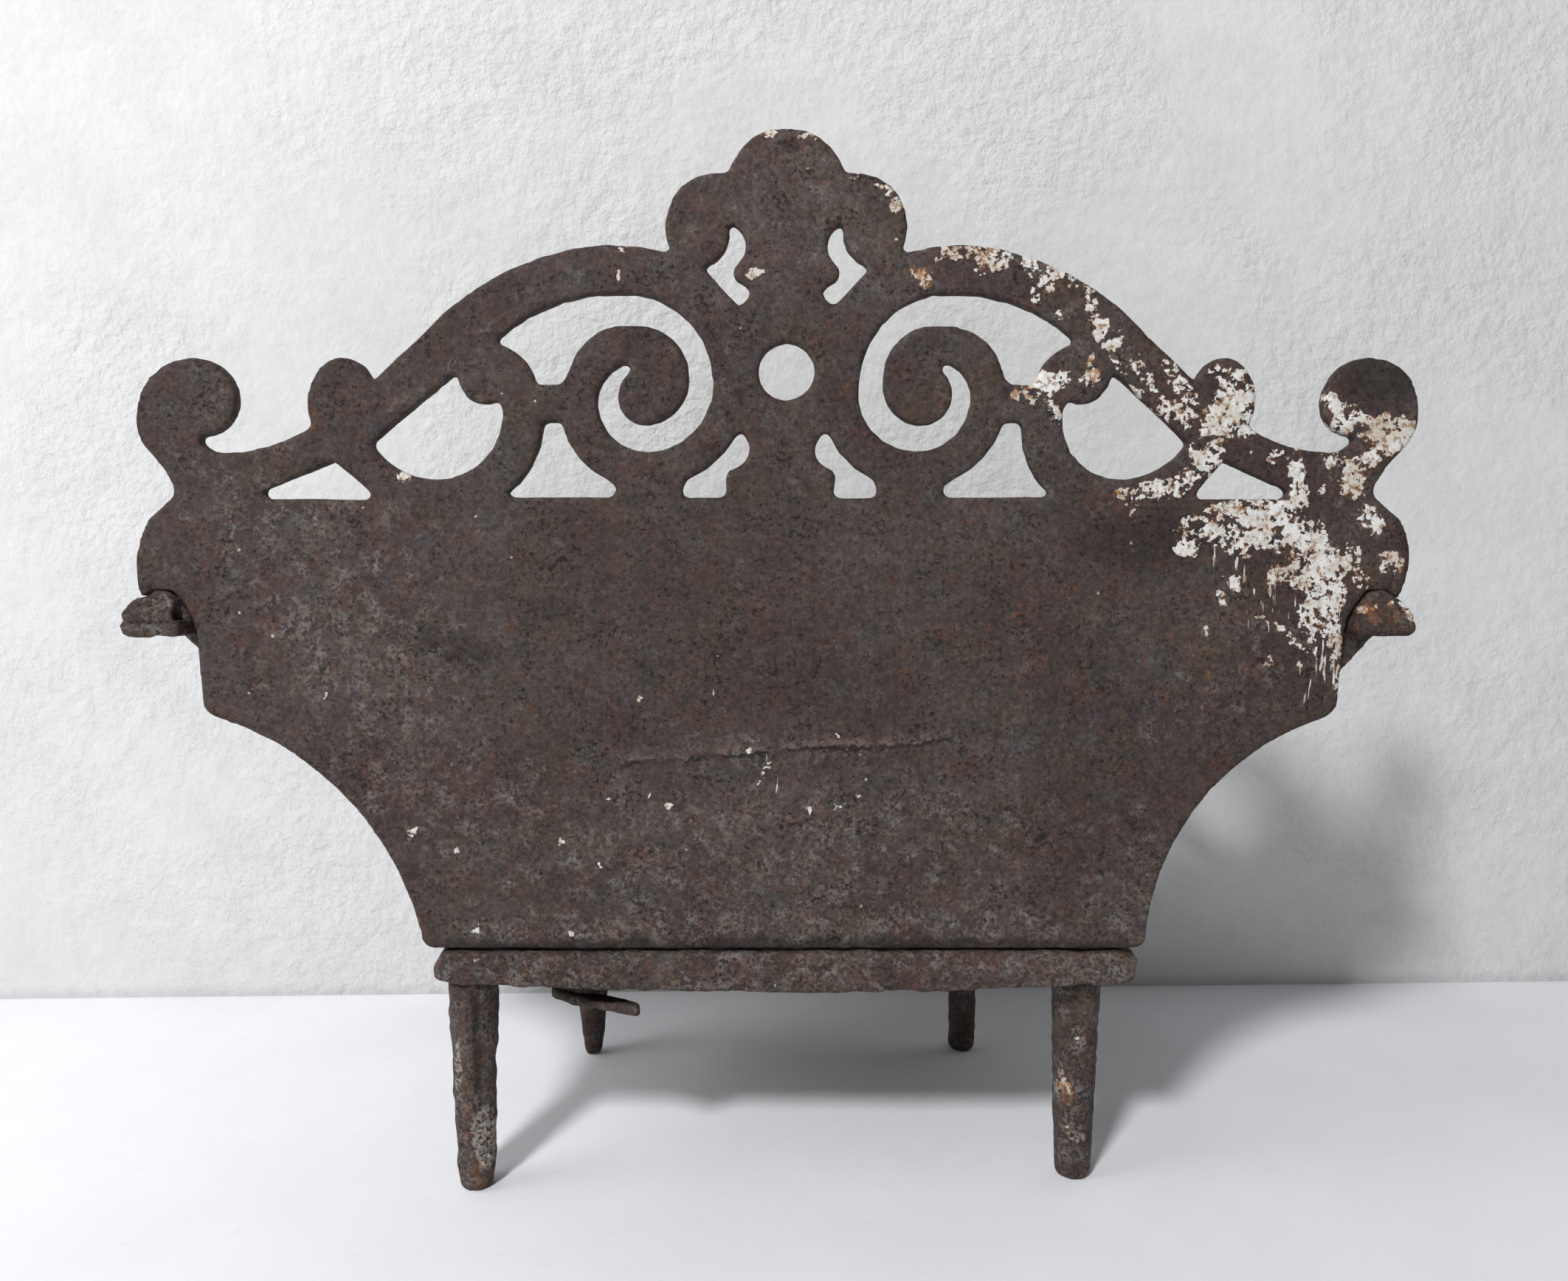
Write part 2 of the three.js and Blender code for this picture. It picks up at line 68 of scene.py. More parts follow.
def random_of(cell, seed):
    """A repeatable random number from 0 to 1 for each lattice cell."""
    x, y, z = (cell[:, i].astype(np.int64).astype(np.uint64) for i in range(3))
    mixed = x * np.uint64(374761393) + y * np.uint64(668265263) + z * np.uint64(2246822519)
    mixed = mixed + np.uint64(seed * 1274126177)
    for shift in (13, 16, 15):
        mixed = (mixed ^ (mixed >> np.uint64(shift))) * np.uint64(2654435761)
        mixed = mixed & np.uint64(0xFFFFFFFF)
    return mixed.astype(float) / 0xFFFFFFFF


def bumps(points, size, seed):
    """Smooth noise from -1 to 1, with its bumps about size millimetres apart."""
    scaled = points @ TURN.T / size + seed * 7.31
    cell = np.floor(scaled)
    part = scaled - cell
    part = part * part * (3 - 2 * part)
    total = np.zeros(len(points))
    for corner in itertools.product((0, 1), repeat=3):
        weight = np.prod(np.where(corner, part, 1 - part), axis=1)
        total += weight * random_of(cell + corner, seed)
    return 2 * total - 1


def scattered(points, size, seed):
    """Distance to the nearest of many scattered points, in units of their spacing, and that point's random number."""
    scaled = points @ TURN.T / size
    cell = np.floor(scaled)
    best = np.full(len(points), 9.0)
    chance = np.zeros(len(points))
    for corner in itertools.product((-1, 0, 1), repeat=3):
        near = cell + corner
        spot = near + np.stack([random_of(near, seed + k) for k in range(3)], axis=1)
        distance = np.linalg.norm(scaled - spot, axis=1)
        closer = distance < best
        best = np.where(closer, distance, best)
        chance = np.where(closer, random_of(near, seed + 3), chance)
    return best, chance


def ease(value, start, end):
    """0 before start, 1 after end, and smooth between them; end may be the lower."""
    t = np.clip((value - start) / (end - start), 0, 1)
    return t * t * (3 - 2 * t)


def patches(points, spots, wobble=2.5):
    """How far each point lies in soft ellipses (x, z, radius x, radius z, strength, tilt in degrees)."""
    x = points[:, 0] + wobble * bumps(points, 7, 71)
    z = points[:, 2] + wobble * bumps(points, 7, 72)
    weight = np.zeros(len(points))
    for cx, cz, rx, rz, strength, tilt in spots:
        turn = math.radians(tilt)
        along = (x - cx) * math.cos(turn) + (z - cz) * math.sin(turn)
        across = (z - cz) * math.cos(turn) - (x - cx) * math.sin(turn)
        weight = np.maximum(weight, strength * ease(np.hypot(along / rx, across / rz), 1.5, 0.5))
    return weight


# ---------------------------------------------------------------- rough castings

def read(items, name, width):
    """A property of all vertices, edges or normals as an array with that many columns."""
    out = np.zeros(len(items) * width)
    items.foreach_get(name, out)
    return out.reshape(-1, width)


def place_of(mesh):
    """The mesh's vertices in millimetres, and their normals."""
    return (read(mesh.vertices, "co", 3) - ORIGIN) / MM, read(mesh.vertex_normals, "vector", 3)


def move(mesh, points):
    """Puts the mesh's vertices at those places, given in millimetres."""
    mesh.vertices.foreach_set("co", (points * MM + ORIGIN).ravel())
    mesh.update()


def applied(piece):
    """Turns the piece's modifiers into its mesh."""
    graph = bpy.context.evaluated_depsgraph_get()
    mesh = bpy.data.meshes.new_from_object(piece.evaluated_get(graph))
    piece.modifiers.clear()
    piece.data = mesh
    return mesh


def soften(points, edges, rounds):
    """Moves each vertex half way to the middle of its neighbours, which rounds off sharp edges."""
    count = np.bincount(edges.ravel(), minlength=len(points))[:, None]
    for _ in range(rounds):
        total = np.zeros_like(points)
        np.add.at(total, edges[:, 0], points[edges[:, 1]])
        np.add.at(total, edges[:, 1], points[edges[:, 0]])
        points = points + 0.5 * (total / count - points)
    return points


def casting(node, body, material, voxel, rounds, relief, marks, most=None):
    """A rough, rounded copy of a CAD node, made of cubes of voxel millimetres and softened that many rounds.

    relief(points, normals) gives its outward shift in millimetres, and marks(points, normals) the weights that its
    material reads. most is the most triangles it may have.
    """
    piece = bpy.data.objects.new(node + "_iron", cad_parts[node].data.copy())
    bpy.context.scene.collection.objects.link(piece)
    piece.modifiers.new("Weld", "WELD").merge_threshold = 1e-6
    remesh = piece.modifiers.new("Remesh", "REMESH")
    remesh.mode = "VOXEL"
    remesh.voxel_size = voxel * MM
    mesh = applied(piece)
    mesh.name = piece.name

    points = soften(place_of(mesh)[0], read(mesh.edges, "vertices", 2).astype(int), rounds)
    move(mesh, points)
    normals = place_of(mesh)[1]
    move(mesh, points + normals * relief(points, normals)[:, None])
    if most:
        piece.modifiers.new("Decimate", "DECIMATE").ratio = min(1.0, most / (2 * len(mesh.polygons)))
        mesh = applied(piece)
    mesh.polygons.foreach_set("use_smooth", np.ones(len(mesh.polygons), dtype=bool))
    for name, values in marks(*place_of(mesh)).items():
        layer = mesh.attributes.new(name, "FLOAT", "POINT")
        layer.data.foreach_set("value", np.asarray(values, dtype=np.float32))
    mesh.materials.clear()
    mesh.materials.append(material)
    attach(piece, body)
    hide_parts(node)


def rough(points, seed, broad, middle, small, pits, blisters):
    """The skin of an old casting: three sizes of bumps, rust pits and raised blisters."""
    shift = broad * bumps(points, 17, seed) + middle * bumps(points, 7.5, seed + 1)
    shift += small * bumps(points, 4.2, seed + 2)
    distance, chance = scattered(points, 7.0, seed + 3)
    shift -= pits * (chance > 0.45) * chance * ease(distance, 0.42, 0.1)
    distance, chance = scattered(points, 9.0, seed + 8)
    return shift + blisters * (chance > 0.5) * chance * ease(distance, 0.4, 0.05)


# ---------------------------------------------------------------- the plate: where paint, rust and crust lie

# Each patch is x, z, radius along x, radius along z, strength and tilt in degrees.

PAINT = [  # the white triangle under the right corner hole, and the flakes round it
    (206, 313.5, 21, 4.5, 0.86, 0), (193, 305, 14, 6, 0.72, 0), (178, 303, 7, 7, 0.62, 0),
    (216, 304, 18, 8, 0.86, -10), (231, 297, 8, 9, 0.84, 0), (237, 287, 8, 10, 0.84, 0),
    (227, 285, 9, 8, 0.68, 0), (216, 284, 5, 6, 0.55, 0), (238, 275, 8, 8, 0.82, 0),
    (231, 267, 6, 8, 0.68, -20), (240, 263, 5, 8, 0.76, 0), (243, 252, 2.6, 8, 0.66, 0),
    (245, 238, 1.6, 9, 0.6, 0), (247, 291, 5, 6, 0.6, 0), (253, 282, 4, 4, 0.55, 0),
    (266, 289, 5, 5.5, 0.76, 0), (257, 308, 9, 5, 0.76, -50), (176, 296, 5, 3.5, 1.3, 0),
    (200, 300, 11, 7, 0.7, 0), (243, 350, 5, 6, 0.84, 0), (199, 280, 3, 3, 1.1, 0), (200, 273, 1.3, 4, 0.6, 0),
    (220, 258, 21, 1.5, 0.64, -38), (232, 257, 1.4, 14, 0.6, 10), (193, 276, 1.4, 9, 0.56, 0),
    (187, 260, 1.3, 4, 0.55, 0), (214, 246, 1.4, 3, 0.55, 0), (226, 244, 1.6, 3, 0.6, 0),
    # the strip from the right eye hole up to the small ball
    (149, 320, 4, 3.5, 0.74, 0), (155, 318, 5, 3.5, 0.68, 0), (165, 321, 9, 5, 0.8, 0),
    (177, 326, 7, 5, 0.84, 20), (184, 335, 7, 8, 0.82, 50), (196, 361, 9, 11, 0.84, 0),
    (189, 350, 9, 8, 0.8, 0), (203, 349, 6, 5, 0.76, 0), (173, 353, 8, 5, 0.6, -40), (190, 372, 5, 3, 0.55, 0),
    (152, 309, 1.4, 5, 0.55, 0),
    # right of the corner hole, the neck and the ball
    (224, 329, 3.5, 9, 0.8, 0), (224, 318, 4, 5, 0.86, 0), (215, 335, 4, 3, 0.6, 0), (248, 326, 6, 8, 0.8, 0),
    (239, 334, 3, 5, 0.6, 30), (236, 320, 2.5, 4, 0.5, 0), (240, 357, 3, 7, 0.98, 20), (246, 352, 5, 5, 1.0, 0),
    (254, 349, 7, 5, 1.04, 0), (262, 348, 8, 6, 1.08, 0), (270, 347, 6, 6, 1.04, 0), (264, 341, 7, 4, 1.0, 0),
    (256, 334, 5, 4, 0.8, 40),
    # streaks and flakes along the right arch
    (172, 366, 14, 4, 0.6, -55), (156, 371, 13, 2.6, 0.76, -58), (165, 358, 6, 3, 0.68, -30),
    (150, 363, 5, 3, 0.56, 0), (137, 391, 4, 5, 0.8, 0), (144, 387, 4, 4, 0.68, 0),
    (132, 402, 2.3, 7, 0.82, 10), (140, 383, 3, 6, 0.72, 30), (134, 375, 3, 6, 0.66, 25),
    (131, 370, 3, 4, 0.6, 0), (146, 374, 5, 3, 0.56, -40), (116, 369, 10, 4.5, 0.95, 5),
    (104, 365, 7, 3.5, 0.66, 20), (110, 361, 6, 3, 0.72, 0), (117, 354, 4, 4, 0.62, 0),
    (120, 397, 3, 3, 0.5, 0), (125, 410, 4, 4, 0.5, 0), (106, 419, 5, 5, 0.74, -40), (113, 412, 4, 6, 0.72, 20),
    (108, 405, 2.5, 5, 0.62, 0), (119, 414, 5, 3, 0.6, -30), (76, 423, 9, 4, 0.66, -5),
    (90, 421, 8, 4.5, 0.74, -15), (70, 422, 4, 4, 0.6, 0), (84, 416, 5, 3, 0.5, 0), (59, 413, 7, 3, 0.64, -50),
    # small marks on the crest and the left arch, and specks that splashed below
    (10, 472, 5, 3, 0.6, -20), (-6, 473, 3, 2, 0.5, 0), (43, 450, 5, 3, 0.62, -35), (49, 443, 3, 4, 0.62, 0),
    (28, 456, 4, 2.5, 0.5, 0), (-13, 414, 4.5, 1.8, 0.85, 20), (-71, 424, 1.6, 5, 0.55, 0),
    (-72, 413, 1.5, 4, 0.5, 0), (-167, 328, 3.5, 2.5, 0.7, -50), (-10, 196, 1.5, 2.5, 0.7, 0),
    (-12, 189, 1.4, 2, 0.62, 0), (-4, 204, 1.4, 1.4, 0.6, 0),
]

SPLASHES = [  # single flecks of paint, as x, z and radius
    (-18, 205, 2.0), (-7, 200, 1.5), (21, 212, 1.5), (33, 187, 1.4), (-52, 180, 2.0), (-61, 185, 1.6),
    (-64, 229, 1.4), (-32, 230, 1.3), (11, 179, 1.6), (23, 181, 1.5), (-78, 184, 1.4), (-167, 169, 2.2),
    (-165, 172, 1.6), (-145, 161, 1.6), (-138, 124, 1.8), (-95, 123, 2.0), (-100, 164, 1.4), (-84, 154, 1.4),
    (-204, 230, 1.4), (-117, 219, 1.4),
]
PAINT += [(x, z, 0.7 * radius, 0.9 * radius, 0.95, 0) for x, z, radius in SPLASHES]

DRIPS = [  # where thin runs of paint hang below the flakes
    (240, 252, 9, 20, 1.0, 0), (222, 268, 22, 18, 0.8, -35), (196, 285, 14, 14, 0.7, 0),
    (232, 240, 16, 14, 0.7, -40), (152, 312, 8, 8, 0.7, 0), (-6, 195, 8, 10, 0.6, 0),
]

RUST = [  # where orange rust shows; paint is stained beige from 0.45 and golden from 0.66
    (59, 413, 9, 5, 0.8, -50), (78, 421, 16, 6, 0.7, -5), (96, 415, 9, 5, 0.5, -20), (134, 374, 4, 8, 0.9, 25),
    (104, 364, 8, 5, 0.8, 10), (196, 312, 18, 6, 0.5, 0), (221, 287, 12, 9, 0.6, 0), (240, 262, 8, 12, 0.5, 0),
    (245, 250, 5, 16, 0.6, 0), (258, 347, 20, 10, 0.66, 10), (249, 326, 8, 10, 0.6, 0),
    (190, 352, 12, 9, 0.5, 70), (146, 319, 7, 6, 0.8, 0), (150, 330, 5, 4, 0.5, 0), (268, 290, 6, 8, 0.6, 0),
    (49, 444, 6, 8, 0.6, 0), (6, 470, 14, 5, 0.5, 0), (-22, 461, 6, 4, 0.5, 0), (-165, 412, 20, 6, 0.3, 30),
    (-263, 345, 10, 14, 0.35, 0), (-150, 250, 30, 12, 0.3, 0), (-80, 252, 22, 10, 0.3, 0),
    (-205, 352, 14, 10, 0.4, 0), (-194, 330, 14, 8, 0.4, 0), (130, 255, 90, 60, 0.3, 0),
]

CRUST = [  # where pale grey and tan scale gathers
    (-215, 300, 62, 26, 0.55, 0), (-190, 255, 44, 34, 0.75, 0), (-170, 205, 40, 30, 0.6, 0),
    (-120, 170, 60, 30, 0.5, 0), (0, 160, 110, 36, 0.6, 0), (60, 165, 60, 30, 0.55, 0),
    (0, 126, 170, 10, 0.8, 0), (0, 207, 80, 4.5, 0.6, 3), (-240, 340, 24, 20, 0.5, 0),
    (150, 150, 30, 26, 0.45, 0), (205, 250, 30, 28, 0.35, 0), (-120, 400, 60, 14, 0.3, 35),
    (252, 312, 16, 26, 0.5, 0), (182, 225, 26, 16, 0.45, 30), (0, 440, 40, 24, 0.25, 0),
    (120, 400, 50, 14, 0.3, -35),
]

DARKER_AND_PAINTED_SHADE = [  # darker patches of the iron, and the last is painted shade along the plate's foot over the rim
    (-151, 254, 26, 7, 0.5, -10), (-101, 268, 12, 5, 0.35, 0), (2, 469, 4, 3, 1.0, 0), (-19, 362, 3, 2, 0.8, 0),
    (258, 372, 17, 16, 0.6, 0), (105, 372, 16, 10, 0.3, 0), (158, 298, 26, 12, 0.4, 0),
    # painted shade: the plate's foot is darkened along the gap over the rim
    (0, 118, 160, 2.6, 0.7, 0),
]

CREST_PAINTED_LIGHT = [(0, 445, 75, 42, 0.2, 0)]  # painted light: the crest is made lighter, where it catches more light from above

# The broken edge left by the mould's gate, as x and z.
SCAR = [(-72, 200.5), (-61, 201.5), (-44, 202), (-29, 204), (-15, 205), (1, 206), (16, 208), (28, 207.5), (44, 208),
        (60, 209.5), (74, 212)]
SCAR_X, SCAR_Z = zip(*SCAR)
FAR_OFF = 20.0  # a height over the broken edge that is too far off to matter
STEP_Z = 369.5  # a low step crosses the bands on both sides of the round hole at this height
PLATE_THICK = (plate_high[1] - plate_low[1]) / MM


def scar_height(points):
    """Height of each point over the broken edge, which is jagged."""
    jag = 1.5 * bumps(points, 5, 31) + 0.7 * bumps(points, 2.6, 32)
    return points[:, 2] + jag - np.interp(points[:, 0], SCAR_X, SCAR_Z)


def scar_strength(points, normals):
    """How strong the broken edge is: 0 beyond its ends and on the fire side."""
    inside = ease(points[:, 0], SCAR_X[0] - 3, SCAR_X[0] + 4) * ease(points[:, 0], SCAR_X[-1] + 3, SCAR_X[-1] - 6)
    patchy = 0.55 + 0.45 * bumps(points, 13, 33)
    return inside * patchy * (normals[:, 1] < -0.5)


def plate_relief(points, normals):
    """The plate's skin, with a ridge over and a hollow under the broken edge, and a step beside the round hole."""
    x, z = points[:, 0], points[:, 2]
    shift = rough(points, 1, 0.22, 0.14, 0.12, 0.42, 0.22) + 0.12
    above = scar_height(points)
    ridge = 0.5 * ease(above, -0.4, 0.8) * ease(above, 6.5, 0.8)
    hollow = 0.55 * ease(above, 0.0, -0.9) * ease(above, -5.0, -1.0)
    shift += scar_strength(points, normals) * (ridge - hollow)
    beside = ease(x, -34, -31) * ease(x, -13, -16) + ease(x, 14, 17) * ease(x, 33, 30)
    step = ease(z + 0.5 * bumps(points, 4, 35), STEP_Z - 0.9, STEP_Z + 0.9) - 0.5
    return shift + 0.55 * beside * step * ease(z, 384, 376) * ease(z, 354, 362)


def plate_marks(points, normals):
    """The weights on the plate. Paint lies on its rear side and edges, not on the fire side."""
    outside = ease(points[:, 1], PLATE_THICK - 0.6, PLATE_THICK - 2.5)
    above = points[:, 2] - np.interp(points[:, 0], SCAR_X, SCAR_Z)
    ends = ease(points[:, 0], SCAR_X[0] - 3, SCAR_X[0] + 3) * ease(points[:, 0], SCAR_X[-1] + 3, SCAR_X[-1] - 3)
    rim_worn = ease(np.abs(normals[:, 1]), 0.93, 0.6)
    return {
        "paint": patches(points, PAINT, 2.2) * outside,
        "rust": np.maximum(patches(points, RUST), 0.25 * rim_worn),
        "crust": np.maximum(patches(points, CRUST, 7), 0.3 * rim_worn),
        # the shade weight: darker patches, painted shade in the gap over the rim, and below 0 painted light on the
        # crest
        "shade": patches(points, DARKER_AND_PAINTED_SHADE) - patches(points, CREST_PAINTED_LIGHT),
        "drips": patches(points, DRIPS, 2.0) * outside,
        "above": np.clip(above, -FAR_OFF, FAR_OFF),
        "torn": ends * outside,
    }


# ---------------------------------------------------------------- materials

class Surface:
    """Builds one procedural material. Sizes are in millimetres on the object."""

    def __init__(self, name):
        self.material = bpy.data.materials.new(name)
        self.material.use_nodes = True
        self.tree = self.material.node_tree
        self.tree.nodes.clear()
        self.place = self.node("ShaderNodeTexCoord").outputs["Object"]
        self.ragged = self.stirred(1.6, 1.3)

    def node(self, kind, **settings):
        """A new shader node with those settings."""
        made = self.tree.nodes.new(kind)
        for name, value in settings.items():
            setattr(made, name, value)
        return made

    def put(self, socket, value):
        """Gives an input a constant, or links another node's output to it."""
        if isinstance(value, bpy.types.NodeSocket):
            self.tree.links.new(value, socket)
        else:
            socket.default_value = value

    def vector(self, operation, first, second):
        made = self.node("ShaderNodeVectorMath", operation=operation)
        self.put(made.inputs[0], first)
        self.put(made.inputs["Scale" if operation == "SCALE" else 1], second)
        return made.outputs[0]

    def stirred(self, size, shift):
        """The place on the object, shifted to and fro, which makes the outlines of cells and spots ragged."""
        swirl = self.node("ShaderNodeTexNoise")
        self.put(swirl.inputs["Vector"], self.place)
        swirl.inputs["Scale"].default_value = 1 / (size * MM)
        offset = self.vector("SUBTRACT", swirl.outputs["Color"], (0.5, 0.5, 0.5))
        return self.vector("ADD", self.place, self.vector("SCALE", offset, shift * MM))

    def noise(self, size, detail=3.0, roughness=0.55, stretch=1.0):
        """Clouds of that size, drawn out stretch times along z."""
        made = self.node("ShaderNodeTexNoise")
        place = self.place
        if stretch != 1.0:
            place = self.vector("MULTIPLY", place, (1.0, 1.0, 1.0 / stretch))
        self.put(made.inputs["Vector"], place)
        for name, value in (("Scale", 1 / (size * MM)), ("Detail", detail), ("Roughness", roughness)):
            made.inputs[name].default_value = value
        return made.outputs["Fac"]

    def grains(self, size):
        """Distance to the middle of the grain that a point lies in, in grain sizes, and the grain's random number."""
        made = self.node("ShaderNodeTexVoronoi")
        self.put(made.inputs["Vector"], self.ragged)
        made.inputs["Scale"].default_value = 1 / (size * MM)
        chosen = self.node("ShaderNodeSeparateColor")
        self.put(chosen.inputs[0], made.outputs["Color"])
        return made.outputs["Distance"], chosen.outputs[0]

    def cells(self, size):
        """A random number for each small grain of the surface."""
        return self.grains(size)[1]

    def specks(self, spacing, radius, share):
        """Small scattered spots: 1 inside one, and only on a share of the grains. radius is a part of spacing."""
        distance, chance = self.grains(spacing)
        inside = self.step(distance, radius, radius * 0.75)
        return self.times(inside, self.step(chance, share, share - 0.01))

    def weight(self, name):
        """A weight that the casting's marks put on its vertices."""
        return self.node("ShaderNodeAttribute", attribute_name=name).outputs["Fac"]

    def math(self, operation, first, second):
        made = self.node("ShaderNodeMath", operation=operation)
        self.put(made.inputs[0], first)
        self.put(made.inputs[1], second)
        return made.outputs[0]

    def plus(self, first, second):
        return self.math("ADD", first, second)

    def minus(self, first, second):
        return self.math("SUBTRACT", first, second)

    def times(self, first, second):
        return self.math("MULTIPLY", first, second)

    def step(self, value, start, end, low=0.0, high=1.0):
        """Low before start, high after end, and smooth between them; end may be the lower."""
        made = self.node("ShaderNodeMapRange", interpolation_type="SMOOTHSTEP")
        for socket, item in zip(made.inputs[:5], (value, start, end, low, high)):
            self.put(socket, item)
        return made.outputs[0]

    def blend(self, factor, first, second):
        """The first colour where factor is 0, and the second where it is 1."""
        made = self.node("ShaderNodeMix", data_type="RGBA")
        self.put(made.inputs[0], factor)
        self.put(made.inputs[6], first)
        self.put(made.inputs[7], second)
        return made.outputs[2]

    def brighten(self, colour, factor):
        return self.vector("SCALE", colour, factor)

    def finish(self, colour, roughness, height, depth, specular):
        """The finished material, whose fine bumps are depth millimetres for each unit of height."""
        shader = self.node("ShaderNodeBsdfPrincipled")
        bump = self.node("ShaderNodeBump")
        bump.inputs["Distance"].default_value = depth * MM
        bump.inputs["Strength"].default_value = 1.0
        self.put(bump.inputs["Height"], height)
        self.put(shader.inputs["Base Color"], colour)
        self.put(shader.inputs["Roughness"], roughness)
        self.put(shader.inputs["Normal"], bump.outputs[0])
        shader.inputs["Metallic"].default_value = 0.0
        shader.inputs["Specular IOR Level"].default_value = specular
        self.put(self.node("ShaderNodeOutputMaterial").inputs["Surface"], shader.outputs[0])
        return self.material


def rgb(red, green, blue, light=1.0):
    """A colour given as it shows on screen, 0 to 255, under that much light, as linear reflectance."""
    shares = [c / 255 for c in (red, green, blue)]
    linear = [c / 12.92 if c <= 0.04045 else ((c + 0.055) / 1.055) ** 2.4 for c in shares]
    return (*(c / light for c in linear), 1.0)


IRON_LIGHT = 1.75  # how much brighter bare iron shows than its own colour, since its gloss adds to it
COAT_LIGHT = 1.4  # and the same for paint, rust and scale


def iron(red, green, blue):
    """The colour of bare iron as it shows on the lit object."""
    return rgb(red, green, blue, IRON_LIGHT)


def coat(red, green, blue):
    """The colour of paint, rust or scale as it shows on the lit object."""
    return rgb(red, green, blue, COAT_LIGHT)


def bare_iron(s, dark, light, grain, fine):
    """Clouded brown skin: two browns, six fainter tints, and three sizes of grain."""
    colour = s.blend(s.step(s.noise(46, 4), 0.38, 0.62), dark, light)
    tints = (  # size of the clouds, where they start and end, their share and their colour
        (21, 0.50, 0.66, 0.6, iron(76, 71, 62)), (17, 0.52, 0.68, 0.6, iron(88, 86, 88)),
        (38, 0.52, 0.66, 0.45, iron(94, 80, 56)), (29, 0.52, 0.66, 0.4, iron(86, 64, 68)),
        (12, 0.50, 0.66, 0.6, iron(96, 68, 58)), (7.3, 0.52, 0.68, 0.45, iron(58, 48, 46)),
    )
    for size, start, end, share, tint in tints:
        colour = s.blend(s.times(s.step(s.noise(size, 6, 0.66), start, end), share), colour, tint)
    colour = s.brighten(colour, s.step(grain, 0.28, 0.72, 0.68, 1.32))
    colour = s.brighten(colour, s.step(fine, 0.25, 0.75, 0.76, 1.24))
    return s.brighten(colour, s.step(s.cells(1.7), 0.0, 1.0, 0.8, 1.2))


def with_rust(s, colour, fine, rust_share):
    """Orange bloom, most of it where the rust weight is high."""
    bloom = s.plus(s.noise(6, 8, 0.72), s.times(s.weight("rust"), 0.17))
    bloom = s.step(s.plus(bloom, rust_share), 0.63, 0.75)
    orange = s.blend(s.step(fine, 0.35, 0.65), coat(102, 64, 44), coat(146, 92, 58))
    return s.blend(s.times(bloom, 0.75), colour, orange)


def with_scale(s, colour, crust_share):
    """Grey and tan scale in grains, caked to a pale crust where the crust weight is over 1. Also gives the scale."""
    scale_of = s.plus(s.noise(8, 7, 0.72), s.times(s.weight("crust"), 0.22))
    scale_of = s.step(s.plus(scale_of, crust_share), 0.52, 0.8)
    grains = s.plus(s.times(s.cells(1.5), 0.5), s.noise(1.1, 3, 0.6))
    scale = s.times(scale_of, s.step(grains, 0.6, 0.92))
    pale = s.blend(s.step(s.noise(9, 3), 0.42, 0.58), coat(134, 116, 104), coat(138, 134, 131))
    colour = s.blend(s.times(scale, 0.8), colour, pale)
    caked = s.times(s.step(s.weight("crust"), 0.9, 1.4), s.step(grains, 0.58, 0.82))
    return s.blend(s.times(caked, 0.85), colour, coat(176, 168, 158)), scale


def with_pits(s, colour):
    """Dark rust pits, then single brown and cream specks. Also gives the pits."""
    eaten = s.plus(s.noise(2.1, 5, 0.7), s.times(s.noise(14, 3), 0.35))
    pits = s.math("MAXIMUM", s.times(s.specks(2.7, 0.36, 0.4), 0.45), s.step(eaten, 0.575, 0.5))
    colour = s.blend(s.times(pits, 0.78), colour, iron(34, 27, 24))
    colour = s.blend(s.times(s.specks(4.6, 0.2, 0.35), 0.5), colour, coat(112, 74, 52))
    return s.blend(s.times(s.specks(13, 0.055, 0.3), 0.9), colour, coat(214, 206, 194)), pits


def with_tear(s, colour, height):
    """The broken edge across the plate: a pale pinkish ragged ridge, its own colour with a painted highlight, and
    under it in places a step down painted dark as its shade.
    """
    jagged = s.plus(s.weight("above"), s.times(s.minus(s.noise(4.5, 4, 0.6), 0.5), 9.0))
    ridge = s.times(s.step(jagged, 0.1, 0.6), s.step(jagged, 4.2, 1.4))
    step_down_painted_dark = s.times(s.step(jagged, 0.2, -0.2), s.step(jagged, -2.4, -1.3))
    broken = s.times(s.weight("torn"), s.step(s.noise(8, 4, 0.6), 0.42, 0.54, 0.1, 1.0))
    ridge = s.times(ridge, s.times(s.weight("torn"), s.step(s.noise(6, 4, 0.65), 0.46, 0.56)))
    step_down_painted_dark = s.times(step_down_painted_dark, broken)
    # the ridge's pale colour: partly its own pinkish colour, partly a painted highlight on the raised edge
    colour = s.blend(s.times(ridge, 0.6), colour, coat(130, 112, 106))
    # painted shade: the step under the ridge is painted dark
    colour = s.blend(s.times(step_down_painted_dark, 0.75), colour, iron(34, 26, 24))
    return colour, s.plus(height, s.times(s.minus(ridge, step_down_painted_dark), 0.8))


def paint_cover(s):
    """How far inside a flake of paint a point lies. A flake ends where this falls below about 0.5."""
    flakes = s.times(s.noise(6, 2, 0.5), 0.9)
    flakes = s.plus(flakes, s.times(s.noise(2.5, 2, 0.5), 2.1))
    flakes = s.plus(flakes, s.times(s.noise(1.0, 2), 0.4))
    flakes = s.plus(flakes, s.times(s.cells(1.8), 0.3))
    reach = s.minus(s.times(s.weight("paint"), 0.9), s.step(s.weight("paint"), 0.3, 0.04, 0.0, 0.5))
    cover = s.plus(reach, s.minus(flakes, 1.755))
    return s.minus(cover, s.step(s.noise(4.4, 3, 0.55), 0.44, 0.37, 0.0, 0.6))


